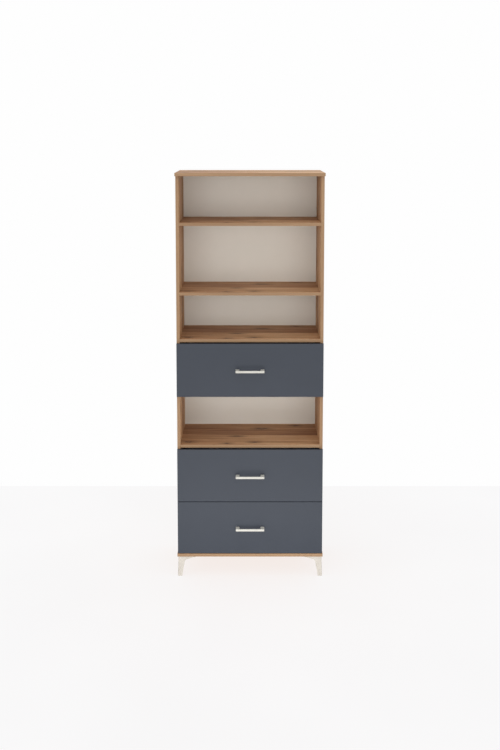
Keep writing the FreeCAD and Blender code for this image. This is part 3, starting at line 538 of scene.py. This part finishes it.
def make_sheet():
    """The drawer bottoms: white-coated hardboard, raw brown underneath."""
    f = Finish("white_hardboard")
    place = f.place()
    downward = f.downward()
    clouds = f.noise(place, 9.0, detail=4.0)
    white = f.tones(clouds, NOISE_SPAN, SHEET_DARK, SHEET_LIGHT)
    fibre = f.noise(place, 900.0, detail=4.0, roughness=0.7)
    brown = f.tones(fibre, MIX_SPAN, UNDERSIDE_DARK, UNDERSIDE_LIGHT)
    f.set(Base_Color=f.blend(downward, white, brown))
    satin = f.fade(clouds, WIDE_SPAN, 0.36, 0.46)
    f.set(Roughness=f.choose(downward, satin, RAW_FIBRE_ROUGHNESS))
    f.set(Normal=f.relief(fibre, depth=0.00005))
    return f.material


def make_metal(name, dark, light, roughness, streak, scale, depth):
    """Bare or plated metal: streaked along Y by rolling or turning, with cloudy plating."""
    f = Finish(name)
    place = f.place()
    streaks = f.noise(f.stretch(place, (1.0, streak, 1.0)), scale, roughness=0.6)
    mixed = f.mix(streaks, f.noise(place, 55.0, detail=4.0), 0.65)
    colour = f.tones(mixed, MIX_SPAN, dark, light)
    colour = f.wear_and_edge_light(colour, METAL_WORN, radius=0.0005, share=0.4)
    f.set(Base_Color=colour, Metallic=1.0)
    rough = f.fade(mixed, NOISE_SPAN, roughness, roughness + METAL_ROUGHNESS_SPREAD)
    f.set(Roughness=rough)
    f.set(Normal=f.relief(streaks, depth))
    return f.material


def make_beech():
    """Plain beech: pinkish tan with short dark flecks along the dowel."""
    f = Finish("beech_wood")
    place = f.place()
    flecks = f.noise(f.stretch(place, FLECK_SHAPE), 1.0)
    mixed = f.mix(flecks, f.noise(place, 80.0), 0.6)
    f.set(Base_Color=f.tones(mixed, MIX_SPAN, BEECH_DARK, BEECH_LIGHT))
    f.set(Roughness=f.fade(flecks, NOISE_SPAN, 0.5, 0.66))
    f.set(Normal=f.relief(flecks, depth=0.0001))
    return f.material


def make_bumper_rubber():
    """Clear soft bumper plastic, slightly milky."""
    f = Finish("bumper_rubber")
    haze = f.noise(f.place(), 400.0)
    f.set(Base_Color=f.tones(haze, NOISE_SPAN, RUBBER_DARK, RUBBER_LIGHT))
    f.set(Roughness=f.fade(haze, NOISE_SPAN, 0.12, 0.25))
    f.set(Transmission_Weight=0.5, IOR=1.45)
    f.set(Normal=f.relief(haze, depth=0.00003))
    return f.material


def make_floor_finish():
    """The pale studio floor. Most of its light is its own, so shadows on it are faint and warm."""
    f = Finish("studio_floor")
    clouds = f.noise(f.place(), 0.8, detail=2.0)
    f.set(Base_Color=f.tones(clouds, WIDE_SPAN, FLOOR_DARK, FLOOR_LIGHT))
    f.set(Emission_Color=f.tones(clouds, WIDE_SPAN, FLOOR_GLOW_DARK, FLOOR_GLOW_LIGHT))
    f.set(Emission_Strength=1.02, Roughness=0.9, Specular_IOR_Level=0.0)
    return f.material


# Which finish each CAD node wears. The oak boards' grain runs along their length, and the number
# moves each board along the printed pattern.

OAK_BOARDS = {
    "top_panel": ("X", 0.35),
    "bottom_panel": ("X", -0.22),
    "shelf_upper": ("X", 0.0),
    "shelf_middle": ("X", 0.0),
    "shelf_lower": ("X", 0.0),
    "drawer_deck": ("X", 0.0),
    "shelf_bay": ("X", 0.0),
    "side_left": ("Z", 0.5),
    "side_right": ("Z", 0.14),
}


def dress_nodes(metals):
    """Gives each CAD node its finish: by its name, as a leg, or by the first ending that fits."""
    finishes = {
        "back_panel": make_back(),
        "wood_dowels": make_beech(),
        "cam_fittings": metals["cast_zinc"],
    }
    figure_group = make_figure()
    for node, (grain, seed) in OAK_BOARDS.items():
        finishes[node] = make_oak(f"oak_{node}", figure_group, grain, seed)
    linen = make_linen()
    steel = metals["runner_zinc_plate"]
    endings = {
        "_screws": metals["screw_zinc_plate"],
        "_inner_front": linen,
        "_front": make_slate(),
        "_handle": make_handle_metal(),
        "_bottom": make_sheet(),
        "_back": linen,
        "_side_left": linen,
        "_side_right": linen,
        "_rails": steel,
        "_rail_left": steel,
        "_rail_right": steel,
        "_slide_left": steel,
        "_slide_right": steel,
    }
    powder = make_powder_coat()
    for name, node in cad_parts.items():
        material = finishes.get(name)
        if material is None and name.startswith("leg_") and name != "leg_screws":
            material = powder
        if material is None:
            material = next(endings[ending] for ending in endings if name.endswith(ending))
        node.data.materials.clear()
        node.data.materials.append(material)


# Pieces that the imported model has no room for

MERGE_DISTANCE = 1e-6
FULL_TURN = 2 * math.pi


def add_piece(name, mesh_work, materials, body):
    """An object made by a function that fills a bmesh, riding on a body if there is one."""
    mesh = bpy.data.meshes.new(name)
    work = bmesh.new()
    mesh_work(work)
    bmesh.ops.recalc_face_normals(work, faces=work.faces)
    work.to_mesh(mesh)
    work.free()
    for material in materials:
        mesh.materials.append(material)
    piece = bpy.data.objects.new(name, mesh)
    scene.collection.objects.link(piece)
    if body:
        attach(piece, body)
    return piece


# Section of the runners, in metres from the face of the carcass side and from their lower edge.
RAIL_SHEET = 0.0012
BALL_ROOM = 0.0024
BALL = 0.0023
BALL_SEGMENTS = 16
BALL_RINGS = 10
OUTER_BALL_X = 0.0049        # between the cabinet member and the middle member
INNER_BALL_X = 0.0054        # between the middle member and the drawer member
CAGE_SHEET = 0.0005
CAGE_WIDTH = 0.0046
CAGE_PITCH = 0.011
CAGE_BALLS = 12
CAGE_START = 0.022           # front end of the runner to the cage
POCKET_CLEARANCE = 0.0001
POCKET_SIDES = 16
NEARLY_NOTHING = 1e-9        # keeps a division away from 0


def add_cage(work, centre):
    """A strip with a row of round pockets, and a ball in each. It runs back from the centre."""
    start = len(work.faces)
    half = CAGE_WIDTH / 2
    pocket = BALL / 2 + POCKET_CLEARANCE
    middles = [
        centre + Vector((0, CAGE_START + (index + 0.5) * CAGE_PITCH, 0))
        for index in range(CAGE_BALLS)
    ]
    for middle in middles:
        rim = []
        outline = []
        for side in range(POCKET_SIDES):
            angle = FULL_TURN * side / POCKET_SIDES
            way = Vector((math.cos(angle), math.sin(angle), 0))
            to_side = half / max(abs(way.x), NEARLY_NOTHING)
            to_next = CAGE_PITCH / 2 / max(abs(way.y), NEARLY_NOTHING)
            rim.append(work.verts.new(middle + way * pocket))
            outline.append(work.verts.new(middle + way * min(to_side, to_next)))
        for side in range(POCKET_SIDES):
            after = (side + 1) % POCKET_SIDES
            work.faces.new((rim[side], outline[side], outline[after], rim[after]))
    work.faces.ensure_lookup_table()
    corners = list({vert for face in work.faces[start:] for vert in face.verts})
    bmesh.ops.remove_doubles(work, verts=corners, dist=MERGE_DISTANCE)
    work.faces.ensure_lookup_table()
    bmesh.ops.solidify(work, geom=work.faces[start:], thickness=CAGE_SHEET)
    for middle in middles:
        before = len(work.faces)
        ball = bmesh.ops.create_uvsphere(
            work, u_segments=BALL_SEGMENTS, v_segments=BALL_RINGS, radius=BALL / 2,
        )
        bmesh.ops.translate(work, verts=ball["verts"], vec=middle)
        work.faces.ensure_lookup_table()
        for face in work.faces[before:]:
            face.material_index = 1
            face.smooth = True


def add_runner_cages(drawer, metals):
    """The ball cages of a drawer's runners: outer ones in the carcass, inner ones in the middle."""
    steels = (metals["cage_steel"], metals["ball_steel"])
    for kind, body, ball_x, level in (
        ("outer", "carcass", OUTER_BALL_X, RAIL_SHEET + BALL_ROOM / 2),
        ("inner", f"drawer_{drawer}_mids", INNER_BALL_X, 2 * RAIL_SHEET + 1.5 * BALL_ROOM),
    ):
        def fill(work):
            for side, sign in (("left", 1), ("right", -1)):
                low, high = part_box(f"drawer_{drawer}_rail_{side}")
                wall = low.x if sign > 0 else high.x
                for height in (low.z + level, high.z - level):
                    add_cage(work, Vector((wall + sign * ball_x, low.y, height)))
        add_piece(f"drawer_{drawer}_{kind}_cages", fill, steels, body)


# Section of a bumper, from the middle of its top to its rim on the front: radius and height.
BUMPER_PROFILE = (
    (0.0, 0.0018),
    (0.0022, 0.00175),
    (0.0034, 0.0013),
    (0.0039, 0.0006),
    (0.0040, 0.0),
)
BUMPER_SIDES = 24
BUMPER_INSET = 0.008         # end of the front to the bumpers
BUMPER_EDGE = 0.024          # lower and upper edge of the front to the bumpers


def add_bumpers(drawer, rubber):
    """Four clear bumpers behind a front, where it meets the carcass sides."""
    low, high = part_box(f"drawer_{drawer}_front")

    def fill(work):
        for x in (low.x + BUMPER_INSET, high.x - BUMPER_INSET):
            for z in (low.z + BUMPER_EDGE, high.z - BUMPER_EDGE):
                profile = [
                    work.verts.new((x + radius, high.y + rise, z))
                    for radius, rise in BUMPER_PROFILE
                ]
                edges = [work.edges.new(pair) for pair in zip(profile, profile[1:])]
                bmesh.ops.spin(
                    work, geom=profile + edges, cent=(x, high.y, z), axis=(0, 1, 0),
                    angle=FULL_TURN, steps=BUMPER_SIDES, use_merge=True,
                )
        bmesh.ops.remove_doubles(work, verts=work.verts, dist=MERGE_DISTANCE)
        for face in work.faces:
            face.smooth = True

    add_piece(f"drawer_{drawer}_bumpers", fill, (rubber,), f"drawer_{drawer}")


# Studio

FLOOR_SIDE = 6.0             # the middle to each side
FLOOR_BACK = 1.14            # behind the origin, where the floor ends against the white
FLOOR_FRONT = -8.0
FLOOR_CELLS = 6
SKY = tone(254, 254, 254)
# Wide lamps in front: name, place, aim, width, height, power.
LAMPS = (
    ("key", (0, -4.6, 1.6), (0, 0, 1.2), 5.0, 2.2, 46.0),
    ("high_fill", (0, -2.6, 4.6), (0, 0, 1.0), 3.0, 1.5, 22.0),
    ("low_front", (0, -1.6, 0.24), (0, 0, 0.5), 1.6, 0.4, 4.6),
    ("low_fill", (0, -0.74, 0.15), (0, 0, 0.2), 1.4, 0.16, 1.5),
)


def add_floor():
    def fill(work):
        bmesh.ops.create_grid(work, x_segments=FLOOR_CELLS, y_segments=FLOOR_CELLS, size=1.0)
        depth = FLOOR_BACK - FLOOR_FRONT
        for vert in work.verts:
            vert.co.x *= FLOOR_SIDE
            vert.co.y = FLOOR_FRONT + (vert.co.y + 1) / 2 * depth
    floor = add_piece("studio_floor", fill, (make_floor_finish(),), None)
    return floor


def add_lights(floor):
    """An even white surround, and lamps that light the object and leave the floor alone."""
    off_floor = bpy.data.collections.new("lit_by_surround_only")
    off_floor.objects.link(floor)
    off_floor.collection_objects[0].light_linking.link_state = "EXCLUDE"
    world = bpy.data.worlds.new("studio")
    world.use_nodes = True
    background = world.node_tree.nodes["Background"]
    background.inputs["Color"].default_value = SKY
    background.inputs["Strength"].default_value = 1.0
    scene.world = world
    for name, place, aim, width, height, power in LAMPS:
        light = bpy.data.lights.new(name, "AREA")
        light.shape = "RECTANGLE"
        light.size = width
        light.size_y = height
        light.energy = power
        lamp = bpy.data.objects.new(name, light)
        lamp.location = place
        lamp.rotation_euler = (Vector(aim) - Vector(place)).to_track_quat("-Z", "Y").to_euler()
        lamp.visible_camera = False
        lamp.light_linking.receiver_collection = off_floor
        scene.collection.objects.link(lamp)


def add_camera():
    data = bpy.data.cameras.new("camera")
    data.sensor_width = SENSOR
    data.lens = SENSOR * FOCAL_PX / FRAME_HEIGHT_PX
    data.shift_y = CAMERA_SHIFT
    camera = bpy.data.objects.new("camera", data)
    camera.location = CAMERA_PLACE
    camera.rotation_euler = (math.pi / 2 + CAMERA_PITCH, 0, 0)
    scene.collection.objects.link(camera)
    scene.camera = camera


metal_finishes = {name: make_metal(name, *settings) for name, settings in METALS.items()}
bumper_rubber = make_bumper_rubber()
add_camera()
add_lights(add_floor())
dress_nodes(metal_finishes)
for drawer_number in DRAWERS:
    add_runner_cages(drawer_number, metal_finishes)
    add_bumpers(drawer_number, bumper_rubber)
scene.view_settings.view_transform = "Standard"
